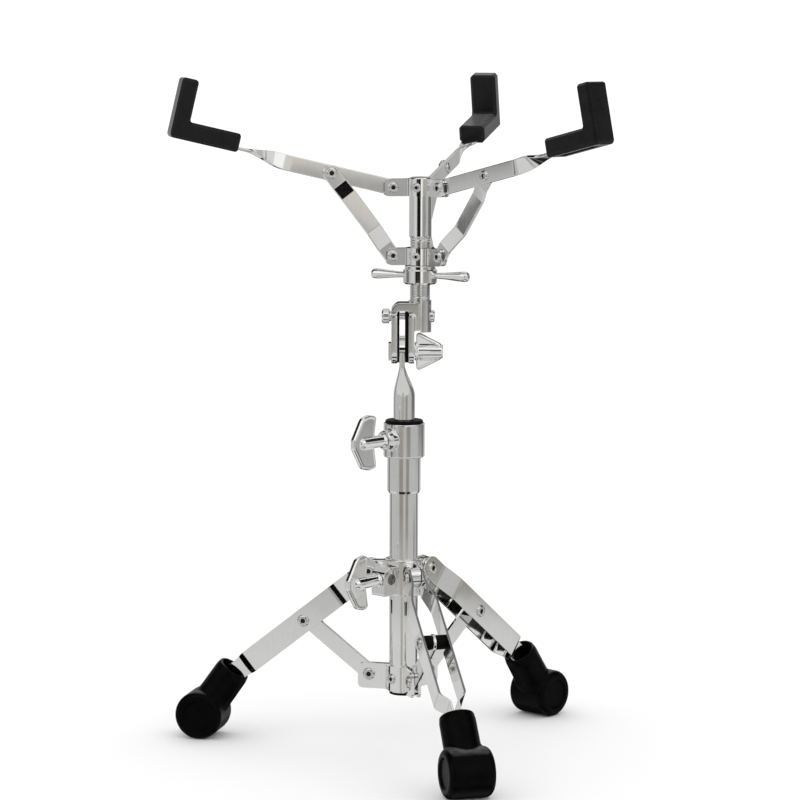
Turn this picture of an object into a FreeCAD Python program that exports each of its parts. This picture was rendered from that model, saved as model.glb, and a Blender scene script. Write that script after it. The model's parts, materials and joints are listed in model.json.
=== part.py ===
import FreeCAD, Part
import math
import os

# Snare drum stand: a folding tripod on a tube, a telescoping upper tube with a
# tilting yoke, and a three-armed basket that a hand nut opens and closes.
# Millimetres, +Z up. The origin is on the column's axis at floor level.
# +X is to the right of a person in front of the stand, +Y is away from them.

V = FreeCAD.Vector
os.makedirs("parts", exist_ok=True)

# ---------------------------------------------------------------- dimensions
# column
BASE_R, BASE_WALL = 12.7, 1.5            # one-inch base tube
BASE_Z0, BASE_Z1 = 51.5, 293.6
UPPER_R, UPPER_WALL = 9.525, 1.6         # three-quarter-inch upper tube
UPPER_Z0, UPPER_ROUND_Z1 = 98.0, 318.0
BLADE_Z0 = 345.0                         # the upper tube is pressed flat above this
BLADE_T, BLADE_X = 4.7, -2.05            # thickness of the flattened end, its middle
SLEEVE_R, SLEEVE_Z0 = 14.75, 231.6
CLAMP_R, CLAMP_Z0, CLAMP_Z1 = 18.25, 263.6, 293.9
CLAMP_SCREW_Z = 280.4
BUSH_FLANGE_R = 16.8

# tripod
LEG_AZ = {"right": 46.7, "left": 166.7, "front": 286.7}
SCREW_AZ = 226.7                         # both wing screws point this way
PIVOT_R = 30.5                           # leg and strut pivots, from the axis
P_Z, Q_Z = 160.0, 66.0                   # leg pivot on the collar, strut pivot on the hub
S_DR = 59.0                              # strut pivot on the leg, outwards from the leg pivot
S_DZ = (P_Z - Q_Z) / 2.0                 # half way down, so leg and strut are equal links
LINK = math.hypot(S_DR, S_DZ)
LEG_SLOPE = math.degrees(math.atan2(S_DZ, S_DR))
LEG_W, LEG_T = 20.5, 2.0
LEG_Y_TOP, LEG_Y_MID, LEG_Y_FOOT = 4.9, 10.4, 2.5  # inner faces of the plates
LEG_END = 186.0
STRUT_W, STRUT_T = 15.0, 3.0
FOOT_R, FOOT_HALF, FOOT_C = 21.7, 20.5, (187.3, 21.2)
SOCKET_R, SOCKET_LEN, SOCKET_TILT = 16.0, 52.0, 35.2
HUB_Z0, HUB_Z1 = 53.0, 75.5
COLLAR_Z0, COLLAR_Z1 = 139.5, 172.0

# tilter
TILT_Z = 357.7
YOKE_TOP = 401.3
YOKE_X0, YOKE_X1 = -11.6, 8.6            # outer faces of the two cheeks
CROSS_Z = 388.9

# basket
POST_X = 13.6
ROD_R, STUB_R, BTUBE_R = 8.9, 8.0, 9.95
ROD_Z0, ROD_Z1, BTUBE_Z1 = 401.3, 459.0, 509.4
ARM_AZ = {"back": 73.0, "left": 193.0, "right": 313.0}
ARM_PIVOT_R, T_Z, U_Z = 25.6, 503.0, 443.0
ARM_SLOPE, ARM_LINK = 13.2, 56.8         # rise of the arm, arm pivot to strut pivot
ARM_W, ARM_T = 14.0, 3.0
BSTRUT_W, BSTRUT_T = 14.4, 2.8
TOPHUB_Z0, TOPHUB_Z1 = 495.2, 510.4
SLIDER_Z0, SLIDER_Z1 = 434.6, 449.6
NUT_Z0, NUT_Z1, NUT_R = 417.6, 434.1, 15.0
NUT_HANDLE_AZ, NUT_HANDLE_R = -23.0, 46.5
STRUT_PLAY_R = 3.6                       # the strut's end hole, around a 2.5 mm shank

RIVET_R, RIVET_HEAD = 3.0, 5.6
BRIVET_R, BRIVET_HEAD = 2.5, 5.0
SCREW_R = 3.0                            # shanks of the wing screws
RUN = 0.05                               # radial clearance of a pin that turns in a hole


# ---------------------------------------------------------------- shape tools
def rwire(pts, f):
    """Closed wire through (u, v[, corner radius]) points, mapped to 3D by f."""
    n = len(pts)
    P = [(p[0], p[1]) for p in pts]
    R = [p[2] if len(p) > 2 else 0.0 for p in pts]
    ends = []
    for i in range(n):
        a, b, c, r = P[i - 1], P[i], P[(i + 1) % n], R[i]
        if r <= 0:
            ends.append((b, None, b))
            continue
        d1 = (a[0] - b[0], a[1] - b[1])
        d2 = (c[0] - b[0], c[1] - b[1])
        l1, l2 = math.hypot(*d1), math.hypot(*d2)
        d1 = (d1[0] / l1, d1[1] / l1)
        d2 = (d2[0] / l2, d2[1] / l2)
        ang = math.acos(max(-1.0, min(1.0, d1[0] * d2[0] + d1[1] * d2[1])))
        t = r / math.tan(ang / 2)
        bx, by = d1[0] + d2[0], d1[1] + d2[1]
        bl = math.hypot(bx, by)
        bx, by = bx / bl, by / bl
        h = r / math.sin(ang / 2)
        ends.append(((b[0] + d1[0] * t, b[1] + d1[1] * t),
                     (b[0] + bx * (h - r), b[1] + by * (h - r)),
                     (b[0] + d2[0] * t, b[1] + d2[1] * t)))
    edges = []
    for i in range(n):
        p1, pm, p2 = ends[i]
        if pm is not None:
            edges.append(Part.Arc(f(p1), f(pm), f(p2)).toShape())
        q1 = ends[(i + 1) % n][0]
        if math.hypot(p2[0] - q1[0], p2[1] - q1[1]) > 1e-6:
            edges.append(Part.LineSegment(f(p2), f(q1)).toShape())
    return Part.Wire(edges)


def slab_xz(pts, y0, y1):
    return Part.Face(rwire(pts, lambda p: V(p[0], y0, p[1]))).extrude(V(0, y1 - y0, 0))


def slab_xy(pts, z0, z1):
    return Part.Face(rwire(pts, lambda p: V(p[0], p[1], z0))).extrude(V(0, 0, z1 - z0))


def slab_yz(pts, x0, x1):
    return Part.Face(rwire(pts, lambda p: V(x0, p[0], p[1]))).extrude(V(x1 - x0, 0, 0))


def rev(pts):
    """Solid of revolution about Z of (radius, height[, corner radius]) points."""
    return Part.Face(rwire(pts, lambda p: V(p[0], 0, p[1]))).revolve(V(0, 0, 0), V(0, 0, 1), 360)


def box(x0, x1, y0, y1, z0, z1):
    return Part.makeBox(x1 - x0, y1 - y0, z1 - z0, V(x0, y0, z0))


def cyl(r, pos, axis, length):
    return Part.makeCylinder(r, length, V(*pos), V(*axis))


def along(shape, pos, axis):
    """Move a shape built on +Z so that it stands at pos along axis."""
    s = shape.copy()
    s.Placement = FreeCAD.Placement(V(*pos), FreeCAD.Rotation(V(0, 0, 1), V(*axis)))
    return s


def turned(shape, az, ox=0.0):
    s = shape.copy()
    s.rotate(V(0, 0, 0), V(0, 0, 1), az)
    s.translate(V(ox, 0, 0))
    return s


def sloped(shape, drop_deg, pos):
    """Lean a shape built along +X down by drop_deg, then move its origin to pos."""
    s = shape.copy()
    s.rotate(V(0, 0, 0), V(0, 1, 0), drop_deg)
    s.translate(V(*pos))
    return s


def fuse(first, *rest):
    s = first.fuse(list(rest)) if rest else first
    return s.removeSplitter()


def node(name, *shapes):
    solids = [s for sh in shapes for s in sh.Solids]
    for s in solids:
        if not s.isValid():
            raise RuntimeError("invalid solid in " + name)
    out = solids[0] if len(solids) == 1 else Part.makeCompound(solids)
    out.exportStep("parts/%s.step" % name)
    print("%-26s solids %d  volume %9.1f mm3" % (name, len(solids), sum(s.Volume for s in solids)))


def rivet(half, r, head_r, head_h):
    """Rivet on +Z with a dished button head outside +-half, shank radius r."""
    d = head_r * 0.34
    return rev([(0, -half - head_h + 0.7), (d * 0.7, -half - head_h + 0.45), (d, -half - head_h),
                (head_r, -half - head_h, head_h * 0.9), (head_r, -half), (r, -half),
                (r, half), (head_r, half), (head_r, half + head_h, head_h * 0.9),
                (d, half + head_h), (d * 0.7, half + head_h - 0.45), (0, half + head_h - 0.7)])


def joggled(points, t, width, end0, end1_pts, bends):
    """Strip along +X whose face steps sideways (Y) through points; +-width/2 in Z.

    end0 is the radius of the round end at x = 0; end1_pts are the outline's
    (x, half width) points from x = 0 to the far end; bends are the radii inside
    the bends, in order."""
    inner, outer = [], []
    for i, (x, y) in enumerate(points):
        r_in = r_out = 0.0
        if 0 < i < len(points) - 1:
            (ax, ay), (bx, by), bend = points[i - 1], points[i + 1], bends[i - 1]
            left = (x - ax) * (by - y) - (y - ay) * (bx - x) > 0
            r_in, r_out = (bend + t, bend) if left else (bend, bend + t)
        inner.append((x, y, r_in))
        outer.append((x, y + t, r_out))
    strip = slab_xy(inner + outer[::-1], -width / 2, width / 2)
    out = [(x, h) for x, h in end1_pts] + [(x, -h) for x, h in reversed(end1_pts)]
    y0 = min(p[1] for p in points) - 1
    y1 = max(p[1] for p in points) + t + 1
    mask = slab_xz(out, y0, y1)
    if end0:
        mask = mask.fuse(cyl(end0, (0, y0, 0), (0, 1, 0), y1 - y0))
    return strip.common(mask)


def stamped_shell(ri, t, gap, rf, z0, z1, pivot_r, pivot_z, pin_r, body_pin_r):
    """One third of a stamped hub: a curved wall on the tube and two flat ears.

    Built for the space between arm azimuths 0 and 120."""
    big = 80.0
    ring = Part.makeCylinder(ri + t, z1 - z0, V(0, 0, z0)).cut(Part.makeCylinder(ri, z1 - z0, V(0, 0, z0)))
    keep0 = box(-big, big, gap, big, z0 - 1, z1 + 1)
    keep1 = box(-big, big, -big, -gap, z0 - 1, z1 + 1)
    keep1.rotate(V(0, 0, 0), V(0, 0, 1), 120)
    wall = ring.common(keep0).common(keep1)
    x0 = math.sqrt(ri * ri - gap * gap)
    ear = slab_xz([(x0, z0), (rf, z0, 4.5), (rf, z1, 4.5), (x0, z1)], gap, gap + t)
    ear = ear.cut(cyl(pin_r, (pivot_r, 0, pivot_z), (0, 1, 0), 20))
    ear2 = slab_xz([(x0, z0), (rf, z0, 4.5), (rf, z1, 4.5), (x0, z1)], -gap - t, -gap)
    ear2 = ear2.cut(cyl(pin_r, (pivot_r, -20, pivot_z), (0, 1, 0), 20))
    ear2.rotate(V(0, 0, 0), V(0, 0, 1), 120)
    s = fuse(wall, ear, ear2)
    bends = []
    for e in s.Edges:
        p, q = e.Vertexes[0].Point, e.Vertexes[-1].Point
        if abs(abs(p.z - q.z) - (z1 - z0)) < 1e-6 and all(abs(math.hypot(v.x, v.y) - ri - t) < 1e-4 for v in (p, q)):
            bends.append(e)
    s = s.makeFillet(2.2, bends)
    a = math.radians(60)
    return s.cut(cyl(body_pin_r, (0, 0, (z0 + z1) / 2), (math.cos(a), math.sin(a), 0), 40))


def body_rivet(ri, t, z, r, head_r, head_h, inner):
    """Rivet through a hub's curved wall, at azimuth 60."""
    a = math.radians(60)
    d = (math.cos(a), math.sin(a), 0)
    head = along(rev([(0, 0), (head_r, 0), (head_r, ri + t + head_h, head_h * 0.9), (0, ri + t + head_h)]), (0, 0, z), d)
    head = head.cut(Part.makeCylinder(ri + t, 60, V(0, 0, z - 30)))
    shank = cyl(r, (d[0] * inner, d[1] * inner, z), d, ri + t + head_h * 0.5 - inner)
    return fuse(head, shank)


def wing_body(scale_v, a0, w0, a1, stem_r, shank_r, tip, thick):
    """Wing head on +Z (outwards): stem from a0, two swept wings in the XZ plane from w0 to a1, shank down to tip."""
    v = scale_v
    plate = slab_xz([(0.16 * v, a1, 2.6), (0.92 * v, a1 - 11.0, 6.0), (v, a1 - 20.0, 5.0), (0.93 * v, w0, 3.0),
                     (0.30 * v, w0 + 2.5, 2.0), (-0.30 * v, w0 + 2.5, 2.0), (-0.93 * v, w0, 3.0),
                     (-v, a1 - 20.0, 5.0), (-0.92 * v, a1 - 11.0, 6.0), (-0.16 * v, a1, 2.6)], -thick / 2, thick / 2)
    rim = [e for e in plate.Edges if abs(abs(e.CenterOfMass.y) - thick / 2) < 1e-6]
    plate = plate.makeFillet(thick * 0.36, rim)
    stem = rev([(0, a0), (stem_r + 1.2, a0), (stem_r + 1.2, a0 + 2.0, 0.6), (stem_r, a0 + 3.4, 1.0),
                (stem_r, a1 - 9.0, 3.5), (0, a1 - 7.0)])
    shank = rev([(0, tip), (shank_r - 0.8, tip), (shank_r, tip + 1.0), (shank_r, a0 + 1.0), (0, a0 + 1.0)])
    return fuse(plate, stem, shank)


def wing_place(shape, pos, out, side):
    """Point a wing head's +Z along out with its wings towards side."""
    o, x = V(*out), V(*side)
    s = shape.copy()
    s.Placement = FreeCAD.Placement(V(*pos), FreeCAD.Rotation(x, o.cross(x), o, "ZXY"))
    return s


def unit(az):
    return (math.cos(math.radians(az)), math.sin(math.radians(az)), 0.0)


SD = unit(SCREW_AZ)

# ---------------------------------------------------------------- column
base = rev([(BASE_R - BASE_WALL, BASE_Z0), (BASE_R, BASE_Z0), (BASE_R, BASE_Z1), (BASE_R - BASE_WALL, BASE_Z1)])
base = base.cut(cyl(4.6, (0, 0, CLAMP_SCREW_Z), SD, 30))
for az in LEG_AZ.values():
    base = base.cut(cyl(2.2, (0, 0, (HUB_Z0 + HUB_Z1) / 2), unit(az + 60), 30))
node("base_tube", base)

plug = rev([(0, BASE_Z0 - 2.4), (BASE_R - 0.2, BASE_Z0 - 2.4, 1.0), (BASE_R - 0.2, BASE_Z0), (BASE_R - BASE_WALL, BASE_Z0),
            (BASE_R - BASE_WALL, BASE_Z0 + 9), (BASE_R - BASE_WALL - 1.6, BASE_Z0 + 9), (BASE_R - BASE_WALL - 1.6, BASE_Z0 + 1.5),
            (0, BASE_Z0 + 1.5)])
node("base_tube_plug", plug)

sleeve = rev([(BASE_R, SLEEVE_Z0), (SLEEVE_R - 0.9, SLEEVE_Z0), (SLEEVE_R, SLEEVE_Z0 + 2.2), (SLEEVE_R, BASE_Z1), (BASE_R, BASE_Z1)])
sleeve = sleeve.cut(cyl(4.6, (0, 0, CLAMP_SCREW_Z), SD, 30))
node("clamp_sleeve", sleeve)

ring = rev([(SLEEVE_R, CLAMP_Z0), (CLAMP_R, CLAMP_Z0, 1.2), (CLAMP_R, CLAMP_Z1, 0.8), (SLEEVE_R, CLAMP_Z1)])
boss = along(rev([(0, 14.0), (9.2, 14.0), (9.2, 22.0), (8.4, 26.4, 1.2), (0, 26.4)]), (0, 0, CLAMP_SCREW_Z), SD)
boss = boss.cut(Part.makeCylinder(SLEEVE_R, 80, V(0, 0, CLAMP_SCREW_Z - 40)))
clamp = fuse(ring, boss)
clamp = clamp.cut(cyl(SCREW_R + RUN, (0, 0, CLAMP_SCREW_Z), SD, 40))
slit = box(SLEEVE_R - 1, CLAMP_R + 2, -0.7, 0.7, CLAMP_Z0 - 1, CLAMP_SCREW_Z - 10.2)
slit2 = box(SLEEVE_R - 1, CLAMP_R + 2, -0.7, 0.7, CLAMP_SCREW_Z + 10.2, CLAMP_Z1 + 1)
clamp = clamp.cut(turned(slit, SCREW_AZ + 6)).cut(turned(slit2, SCREW_AZ + 6))
node("height_clamp", clamp)

bush_or = BASE_R - BASE_WALL - RUN
bush = rev([(UPPER_R + RUN, 238.0), (bush_or, 238.0), (bush_or, CLAMP_Z1 + 0.3), (BUSH_FLANGE_R, CLAMP_Z1 + 0.3),
            (BUSH_FLANGE_R, CLAMP_Z1 + 2.6, 1.4), (UPPER_R + 1.2, CLAMP_Z1 + 3.4), (UPPER_R + RUN, CLAMP_Z1 + 2.8)])
node("clamp_bush", bush)

clamp_screw = wing_body(24.5, 26.8, 37.2, 66.0, 5.3, SCREW_R, 11.6, 6.0)
node("clamp_wing_screw", wing_place(clamp_screw, (0, 0, CLAMP_SCREW_Z), SD, (0, 0, 1)))

# upper tube: round, then pressed down to a flat blade with a round end
girth = 2 * math.pi * UPPER_R


def stadium(z):
    k = (z - UPPER_ROUND_Z1) / (BLADE_Z0 - UPPER_ROUND_Z1)
    k = k * k * (3 - 2 * k)
    r = UPPER_R - 0.06 + (BLADE_T / 2 - UPPER_R + 0.06) * k
    h = (girth - 2 * math.pi * r) / 4
    x = BLADE_X * k
    a1 = Part.Arc(V(x + r, h, z), V(x, h + r, z), V(x - r, h, z)).toShape()
    l1 = Part.LineSegment(V(x - r, h, z), V(x - r, -h, z)).toShape()
    a2 = Part.Arc(V(x - r, -h, z), V(x, -h - r, z), V(x + r, -h, z)).toShape()
    l2 = Part.LineSegment(V(x + r, -h, z), V(x + r, h, z)).toShape()
    return Part.Wire([a1, l1, a2, l2]), r, h


sections = [stadium(UPPER_ROUND_Z1 + (BLADE_Z0 - UPPER_ROUND_Z1) * i / 8.0)[0] for i in range(9)]
flat = Part.makeLoft(sections, True, False)
_, br, bh = stadium(BLADE_Z0)
blade_half = bh + br
blade = Part.Face(sections[-1]).extrude(V(0, 0, TILT_Z - BLADE_Z0))
head = cyl(blade_half, (BLADE_X - br, 0, TILT_Z), (1, 0, 0), 2 * br)
head = head.common(box(-20, 20, -20, 20, TILT_Z, TILT_Z + 40))
tube = rev([(UPPER_R - UPPER_WALL, UPPER_Z0), (UPPER_R, UPPER_Z0), (UPPER_R, UPPER_ROUND_Z1), (0, UPPER_ROUND_Z1),
            (0, UPPER_ROUND_Z1 - 4), (UPPER_R - UPPER_WALL, UPPER_ROUND_Z1 - 8)])
upper = fuse(tube, flat, blade, head)
upper = upper.cut(cyl(3.5 + RUN, (-40, 0, TILT_Z), (1, 0, 0), 80))
node("upper_tube", upper)

# ---------------------------------------------------------------- tripod
hub_mid = (HUB_Z0 + HUB_Z1) / 2
shell = stamped_shell(BASE_R, 2.6, 1.8, 40.8, HUB_Z0, HUB_Z1, PIVOT_R, Q_Z, RIVET_R, 2.2)
node("lower_hub_shells", *[turned(shell, az) for az in LEG_AZ.values()])
brv = body_rivet(BASE_R, 2.6, hub_mid, 2.2, 4.6, 1.5, BASE_R - BASE_WALL - 0.8)
node("lower_hub_rivets", *[turned(brv, az) for az in LEG_AZ.values()])
q_rivet = along(rivet(4.4, RIVET_R, RIVET_HEAD, 1.8), (PIVOT_R, 0, Q_Z), (0, 1, 0))
node("strut_hub_rivets", *[turned(q_rivet, az) for az in LEG_AZ.values()])

# collar that slides on the base tube, with three lugs and a boss for its screw
ring = rev([(BASE_R + 0.25, COLLAR_Z0), (16.6, COLLAR_Z0, 1.0), (16.6, COLLAR_Z1, 1.0), (BASE_R + 0.25, COLLAR_Z1)])
lug = slab_xz([(14.2, P_Z - 14.0), (PIVOT_R + 2.0, P_Z - 8.6, 4.0), (PIVOT_R + 8.8, P_Z - 3.0, 5.0), (PIVOT_R + 8.8, P_Z + 8.8, 7.0),
               (14.2, P_Z + 10.2)], -4.6, 4.6)
cboss = slab_xz([(14.2, 142.0), (33.0, 142.0, 1.5), (33.0, 163.0, 3.0), (25.0, 167.0, 3.0), (14.2, 167.0)], -8.0, 8.0)
bore = Part.makeCylinder(BASE_R + 0.25, 80, V(0, 0, 120))
collar = ring.fuse([turned(lug, az) for az in LEG_AZ.values()] + [turned(cboss, SCREW_AZ)]).cut(bore).removeSplitter()
COLLAR_SCREW_Z, BARREL_R = 156.5, 23.6
for az in LEG_AZ.values():
    collar = collar.cut(turned(cyl(RIVET_R + RUN, (PIVOT_R, -20, P_Z), (0, 1, 0), 40), az))
collar = collar.cut(turned(cyl(4.6, (BARREL_R, -20, COLLAR_SCREW_Z), (0, 1, 0), 40), SCREW_AZ))
collar = collar.cut(cyl(SCREW_R + 0.4, (0, 0, COLLAR_SCREW_Z), SD, 60))
node("leg_collar", collar)
barrel = along(rev([(0, -7.4), (1.8, -7.4), (2.5, -8.5), (4.6, -8.5, 0.6), (4.6, 8.5, 0.6), (2.5, 8.5), (1.8, 7.4), (0, 7.4)]),
               (BARREL_R, 0, COLLAR_SCREW_Z), (0, 1, 0))
barrel = turned(barrel, SCREW_AZ).cut(cyl(SCREW_R + RUN, (0, 0, COLLAR_SCREW_Z), SD, 60))
node("collar_barrel_nut", *barrel.Solids)
collar_screw = wing_body(24.5, 33.4, 47.2, 72.5, 5.3, SCREW_R, BASE_R + 0.4, 6.0)
node("collar_wing_screw", wing_place(collar_screw, (0, 0, COLLAR_SCREW_Z), SD, (0, 0, 1)))

# one leg, built outwards along +X and then turned to its azimuth
leg_points = [(-LEG_W / 2, LEG_Y_TOP), (14.5, LEG_Y_TOP), (34.8, LEG_Y_MID), (140.0, LEG_Y_MID), (147.5, LEG_Y_FOOT), (LEG_END, LEG_Y_FOOT)]
leg_outline = [(0, LEG_W / 2), (142.0, LEG_W / 2), (153.0, 8.8), (LEG_END, 8.8)]
plate = joggled(leg_points, LEG_T, LEG_W, LEG_W / 2, leg_outline, (26.0, 26.0, 4.0, 4.0))
plate2 = plate.mirror(V(0, 0, 0), V(0, 1, 0))
holes = cyl(RIVET_R, (0, -30, 0), (0, 1, 0), 60).fuse(cyl(RIVET_R, (LINK, -30, 0), (0, 1, 0), 60))
plate, plate2 = plate.cut(holes), plate2.cut(holes)
pp = (PIVOT_R, 0, P_Z)
plate, plate2 = sloped(plate, LEG_SLOPE, pp), sloped(plate2, LEG_SLOPE, pp)

spacer = rev([(RIVET_R, 1.8), (6.4, 1.8, 0.8), (6.4, LEG_Y_MID, 0.8), (RIVET_R, LEG_Y_MID)])
s_pos = (PIVOT_R + S_DR, 0, P_Z - S_DZ)
spacer_a = along(spacer, s_pos, (0, 1, 0))
spacer_b = along(spacer, s_pos, (0, -1, 0))
p_rivet = along(rivet(LEG_Y_TOP + LEG_T, RIVET_R, RIVET_HEAD, 1.8), pp, (0, 1, 0))
s_rivet = along(rivet(LEG_Y_MID + LEG_T, RIVET_R, RIVET_HEAD, 1.8), s_pos, (0, 1, 0))

strut = slab_xz([(0, -STRUT_W / 2), (LINK, -STRUT_W / 2), (LINK, STRUT_W / 2), (0, STRUT_W / 2)], -STRUT_T / 2, STRUT_T / 2)
for x in (0, LINK):
    strut = strut.fuse(cyl(STRUT_W / 2, (x, -STRUT_T / 2, 0), (0, 1, 0), STRUT_T))
strut = strut.removeSplitter()
for x in (0, LINK):
    strut = strut.cut(cyl(RIVET_R + RUN, (x, -20, 0), (0, 1, 0), 40))
strut = sloped(strut, -LEG_SLOPE, (PIVOT_R, 0, Q_Z))

# rubber foot: a drum that lies across the leg, and a socket for the leg's end
fc = (FOOT_C[0], 0, FOOT_C[1])
st = math.radians(SOCKET_TILT)
sdir = (-math.sin(st), 0, math.cos(st))
h = FOOT_HALF
drum = rev([(0, -h + 1.6), (12.6, -h + 1.6, 0.8), (13.8, -h, 0.9), (FOOT_R, -h, 5.5), (FOOT_R, h, 5.5), (13.8, h, 0.9), (12.6, h - 1.6, 0.8), (0, h - 1.6)])
drum = along(drum, fc, (0, 1, 0))
socket = along(rev([(0, 0), (SOCKET_R + 0.8, 0), (SOCKET_R, 24.0, 8.0), (SOCKET_R - 0.2, SOCKET_LEN - 6.0, 2.0), (SOCKET_R - 1.2, SOCKET_LEN, 2.0),
                    (12.4, SOCKET_LEN, 0.8), (11.6, SOCKET_LEN - 11.0, 1.0), (0, SOCKET_LEN - 11.0)]), fc, sdir)
floor_cut = box(100, 300, -60, 60, -60, 0)
foot = drum.fuse(socket).removeSplitter()
neck = []
for e in foot.Edges:
    m = Part.Vertex(e.valueAt((e.FirstParameter + e.LastParameter) / 2))
    if all(min(fa.distToShape(m)[0] for fa in b.Faces) < 1e-4 for b in (drum, socket)):
        neck.append(e)
foot = foot.makeFillet(4.0, neck)
foot = foot.cut(floor_cut).cut(plate).cut(plate2)
foot = [s for s in foot.Solids if s.Volume > 1000][0]

for name, az in LEG_AZ.items():
    node("leg_%s_plate_a" % name, turned(plate, az))
    node("leg_%s_plate_b" % name, turned(plate2, az))
    node("leg_%s_spacers" % name, turned(spacer_a, az), turned(spacer_b, az))
    node("leg_%s_rivets" % name, turned(p_rivet, az), turned(s_rivet, az))
    node("leg_%s_strut" % name, turned(strut, az))
    node("foot_%s" % name, turned(foot, az))

# ---------------------------------------------------------------- tilter
core = slab_xz([(YOKE_X0, TILT_Z - 11), (YOKE_X0, YOKE_TOP, 8.0), (POST_X + 0.2, YOKE_TOP, 0.8), (POST_X + 0.2, 376.5, 1.0), (YOKE_X1, 376.5, 1.0),
                (YOKE_X1, TILT_Z - 11), (3.6, TILT_Z - 11), (3.6, 393.7, 0.8), (-6.3, 393.7, 0.8), (-6.3, TILT_Z - 11)], -9.0, 9.0)
# the two cheeks stand a little proud of the block, with rounded tops
cheek = slab_xz([(YOKE_X0, TILT_Z - 11), (YOKE_X0, 391.0, 2.4), (-6.3, 391.0, 2.0), (-6.3, TILT_Z - 11)], -11, 11)
cheek2 = slab_xz([(3.6, TILT_Z - 11), (3.6, 391.0, 2.0), (YOKE_X1, 391.0, 2.4), (YOKE_X1, TILT_Z - 11)], -11, 11)
side = slab_yz([(-11, TILT_Z), (11, TILT_Z), (11, YOKE_TOP + 1, 2.5), (-11, YOKE_TOP + 1, 2.5)], -30, 30)
side = side.fuse(cyl(11, (-30, 0, TILT_Z), (1, 0, 0), 60))
yoke = fuse(core, cheek, cheek2).common(side)
yoke = yoke.cut(cyl(3.5, (-40, 0, TILT_Z), (1, 0, 0), 80)).cut(cyl(3.0, (-40, 0, CROSS_Z), (1, 0, 0), 80))
node("tilter_yoke", yoke)


def pad(x0, x1):
    """Friction pad that lines a cheek of the yoke from below the pivot to the bridge."""
    p = slab_yz([(-10.0, TILT_Z - 10.0, 9.6), (10.0, TILT_Z - 10.0, 9.6), (9.6, 392.7, 1.5), (-9.6, 392.7, 1.5)], x0, x1)
    return p.cut(cyl(3.5, (-40, 0, TILT_Z), (1, 0, 0), 80)).cut(cyl(3.0, (-40, 0, CROSS_Z), (1, 0, 0), 80))


node("tilter_pads", pad(-6.3, -4.5), pad(0.4, 3.6))
sq = slab_yz([(-7.6, TILT_Z - 7.6, 1.0), (7.6, TILT_Z - 7.6, 1.0), (7.6, TILT_Z + 7.6, 1.0), (-7.6, TILT_Z + 7.6, 1.0)], YOKE_X0 - 2.6, YOKE_X0)
bolt = fuse(sq, along(rev([(0, 0), (3.5, 0), (3.5, 32.6 - YOKE_X0, 0.8), (0, 32.6 - YOKE_X0)]), (YOKE_X0, 0, TILT_Z), (1, 0, 0)))
node("tilter_bolt", bolt)

# wing nut on the tilter bolt: hub on +Z with a sunk outer end, wings widest beside the yoke
hub = rev([(3.5 + RUN, 0), (8.2, 0), (8.2, 1.6, 0.4), (6.6, 2.6, 0.6), (6.2, 25.0, 1.2), (4.7, 25.0, 0.4), (4.5, 22.6), (3.5 + RUN, 22.6)])
w = slab_xz([(5.0, 1.4), (18.7, 1.4, 2.6), (7.2, 23.4, 4.0), (5.0, 23.8)], -2.6, 2.6)
wedges = [e for e in w.Edges if abs(abs(e.CenterOfMass.y) - 2.6) < 1e-6 and e.CenterOfMass.x > 5.05]
w = w.makeFillet(1.1, wedges)
w2 = w.copy()
w2.rotate(V(0, 0, 0), V(0, 0, 1), 180)
wn = fuse(hub, w, w2)
wn = wn.cut(Part.makeCylinder(3.5 + RUN, 22.6 + 10, V(0, 0, -10)))
wn = wn.cut(Part.makeCylinder(4.5, 20, V(0, 0, 22.6)))
ta = math.radians(-12)
node("tilter_wing_nut", wing_place(wn, (YOKE_X1 + 0.4, 0, TILT_Z), (1, 0, 0), (0, math.sin(ta), math.cos(ta))))

# basket post: half-round tail bolted to the yoke, threaded part, and a stub in the tube
tail = Part.makeCylinder(10.1, ROD_Z0 - 375.2, V(POST_X, 0, 375.2)).common(box(POST_X + 0.2, 60, -30, 30, 370, 410))
rod = rev([(0, ROD_Z0), (ROD_R - 0.6, ROD_Z0), (ROD_R, ROD_Z0 + 0.8), (ROD_R, ROD_Z1), (STUB_R, ROD_Z1), (STUB_R, BTUBE_Z1 - 8), (STUB_R - 1, BTUBE_Z1 - 7), (0, BTUBE_Z1 - 7)])
rod.translate(V(POST_X, 0, 0))
collar_step = Part.makeCylinder(10.1, 1.6, V(POST_X, 0, ROD_Z0))
post = fuse(tail, rod, collar_step)
post = post.cut(cyl(3.0, (-40, 0, CROSS_Z), (1, 0, 0), 80)).cut(cyl(5.6, (22.4, 0, CROSS_Z), (1, 0, 0), 20))
node("basket_post", post)

cbolt = fuse(along(rev([(0, 0), (5.0, 0, 0.6), (6.5, 1.2, 0.6), (6.5, 6.4, 0.6), (4.6, 7.0, 0.5), (4.6, 8.6), (3.0, 8.6), (3.0, 46.8, 0.5), (0, 46.8)]),
                   (YOKE_X0 - 8.6, 0, CROSS_Z), (1, 0, 0)))
node("cross_bolt", cbolt)
cnut = along(rev([(3.0, 0), (5.3, 0), (5.3, 3.8, 1.4), (3.0, 4.4)]), (22.4, 0, CROSS_Z), (1, 0, 0))
node("cross_bolt_nut", cnut)

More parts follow.
